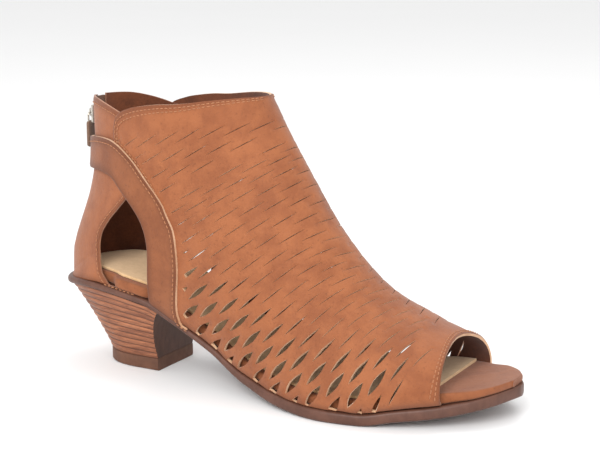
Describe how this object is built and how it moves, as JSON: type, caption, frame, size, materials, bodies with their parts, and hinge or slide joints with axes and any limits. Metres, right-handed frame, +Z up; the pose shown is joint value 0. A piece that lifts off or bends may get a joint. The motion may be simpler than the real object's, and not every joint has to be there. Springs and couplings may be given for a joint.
{
  "type": "peep-toe ankle sandal",
  "caption": "Peep-toe ankle sandal with a slit-perforated upper, side windows, a back zip and a low stacked block heel.",
  "frame": {"origin": "middle of the heel lift's flat face on the floor", "axes": "+X towards the toe, +Y towards the inner (big toe) side of the foot, +Z up"},
  "size_m": [0.2373, 0.0821, 0.1363],
  "materials": {
    "sole_rubber": "satin moulded brown outsole",
    "footbed_leather": "smooth tan leather wrap",
    "sock_lining": "matte beige sock lining",
    "stacked_leather": "stacked layers, satin",
    "lift_rubber": "dark matte lift",
    "tan_nubuck": "matte tan nubuck",
    "strap_nubuck": "matte tan nubuck",
    "zip_tape": "woven brown tape and coil teeth",
    "zip_metal": "satin metal",
    "pull_leather": "grey-brown leather tab"
  },
  "bodies": {
    "shoe": {"outsole": "sole_rubber", "footbed": "footbed_leather", "sock": "sock_lining", "heel": "stacked_leather", "top_lift": "lift_rubber", "upper": "tan_nubuck", "strap_lateral": "strap_nubuck", "strap_medial": "strap_nubuck", "zip_tape": "zip_tape", "zip_slider": "zip_metal"},
    "pull": {"zip_pull": "pull_leather"}
  },
  "joints": [
    {"name": "pull_swing", "type": "hinge", "parent": "shoe", "child": "pull", "pos_m": [-0.02944, 0, 0.12183], "axis": [0, 1, 0], "range_deg": [0, 150]}
  ]
}
